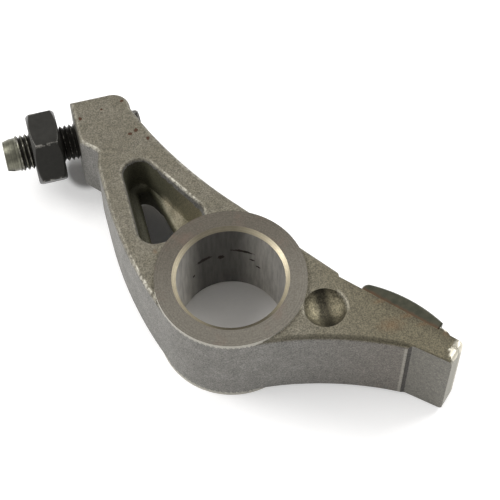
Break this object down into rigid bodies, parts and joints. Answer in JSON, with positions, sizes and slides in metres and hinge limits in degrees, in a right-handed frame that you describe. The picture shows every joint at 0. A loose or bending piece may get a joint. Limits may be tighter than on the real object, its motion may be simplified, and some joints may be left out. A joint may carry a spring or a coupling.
{
  "type": "rocker arm",
  "caption": "Forged steel rocker arm with a shaft bore, a brazed slipper pad for the cam and an adjusting screw with lock nut for the valve.",
  "frame": {"origin": "centre of the shaft bore at half thickness", "axes": "+Z along the shaft bore; +X along the adjusting screw, from the lock nut toward the foot; +Y from the bore toward the screw boss"},
  "size_m": [0.1003, 0.1085, 0.029],
  "materials": {
    "forged_steel": "shot blasted steel with a slight oily sheen",
    "hardened_pad": "smooth dark phosphated steel",
    "black_oxide_screw": "black oxide",
    "black_oxide_nut": "black oxide"
  },
  "bodies": {
    "rocker": {"rocker_body": "forged_steel", "cam_pad": "hardened_pad"},
    "screw": {"adjusting_screw": "black_oxide_screw"},
    "nut": {"lock_nut": "black_oxide_nut"}
  },
  "joints": [
    {"name": "screw_travel", "type": "slide", "parent": "rocker", "child": "screw", "axis": [1, 0, 0], "range_m": [-0.002, 0.003]},
    {"name": "nut_travel", "type": "slide", "parent": "rocker", "child": "nut", "axis": [1, 0, 0], "range_m": [-0.0015, 0.0046]}
  ]
}
